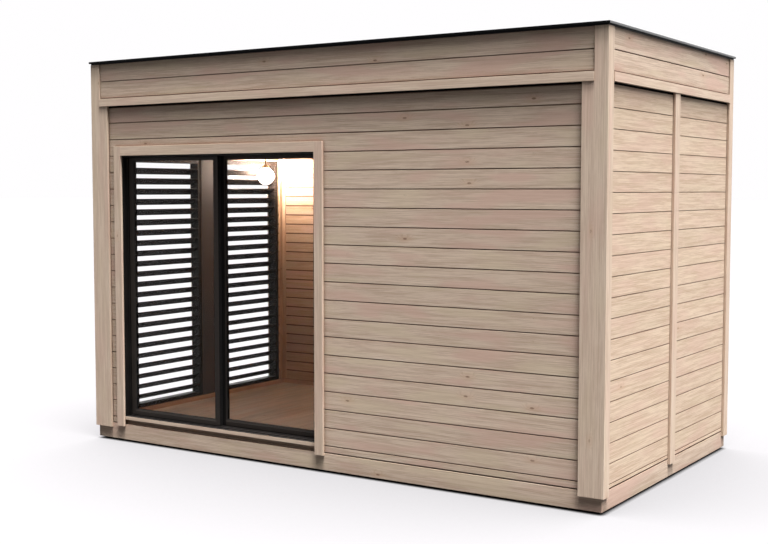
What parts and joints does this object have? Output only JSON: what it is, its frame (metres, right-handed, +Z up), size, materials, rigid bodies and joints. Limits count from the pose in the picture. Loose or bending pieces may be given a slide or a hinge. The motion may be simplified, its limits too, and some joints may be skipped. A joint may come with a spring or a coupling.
{
  "type": "garden sauna cabin with a sliding glass door",
  "caption": "Flat-roofed timber garden sauna cabin with a two-leaf sliding glass door and louvred side windows.",
  "frame": {"origin": "centre of the building's footprint at ground level, under the packers", "axes": "+X to the right along the front as seen from outside, +Y from the door front to the back, +Z up"},
  "size_m": [4.22, 2.32, 2.879],
  "materials": {
    "cladding_timber": "matte",
    "trim_timber": "matte",
    "framing_timber": "matte",
    "treated_timber": "matte",
    "floor_timber": "satin",
    "dark_aluminium": "satin",
    "edge_metal": "satin",
    "roof_membrane": "matte",
    "rubber_packer": "matte",
    "clear_glass": "gloss",
    "lamp_glass": "gloss"
  },
  "bodies": {
    "cabin": {"packers": "rubber_packer", "ground_bearers": "treated_timber", "floor_frame": "framing_timber", "floor_boards": "floor_timber", "base_boards_front_back": "cladding_timber", "base_boards_sides": "cladding_timber", "front_wall_left": "cladding_timber", "front_wall_right": "cladding_timber", "front_wall_head": "cladding_timber", "back_wall": "cladding_timber", "right_wall": "cladding_timber", "left_wall_piers": "cladding_timber", "left_wall_head": "cladding_timber", "left_wall_sill": "cladding_timber", "corner_front_left": "trim_timber", "corner_front_right": "trim_timber", "corner_back_left": "trim_timber", "corner_back_right": "trim_timber", "side_battens": "trim_timber", "fascia_front_back": "cladding_timber", "fascia_sides": "cladding_timber", "strip_front_back": "trim_timber", "strip_sides": "trim_timber", "ceiling": "cladding_timber", "roof_frame": "framing_timber", "roof_cover": "roof_membrane", "roof_edge_front_back": "edge_metal", "roof_edge_sides": "edge_metal", "door_threshold": "cladding_timber", "door_sill": "trim_timber", "door_trim_sides": "trim_timber", "door_trim_head": "trim_timber", "door_frame_jambs": "dark_aluminium", "door_frame_head": "dark_aluminium", "door_frame_sill": "dark_aluminium", "louvre_front": "dark_aluminium", "louvre_back": "dark_aluminium", "window_glass": "clear_glass", "pendant_lamp": "lamp_glass"},
    "front_leaf": {"front_leaf_stiles": "dark_aluminium", "front_leaf_rails": "dark_aluminium", "front_leaf_glass": "clear_glass"},
    "rear_leaf": {"rear_leaf_stiles": "dark_aluminium", "rear_leaf_rails": "dark_aluminium", "rear_leaf_glass": "clear_glass"}
  },
  "joints": [
    {"name": "front_leaf_slide", "type": "slide", "parent": "cabin", "child": "front_leaf", "axis": [1, 0, 0], "range_m": [0, 0.856]},
    {"name": "rear_leaf_slide", "type": "slide", "parent": "cabin", "child": "rear_leaf", "axis": [-1, 0, 0], "range_m": [0, 0.856]}
  ]
}
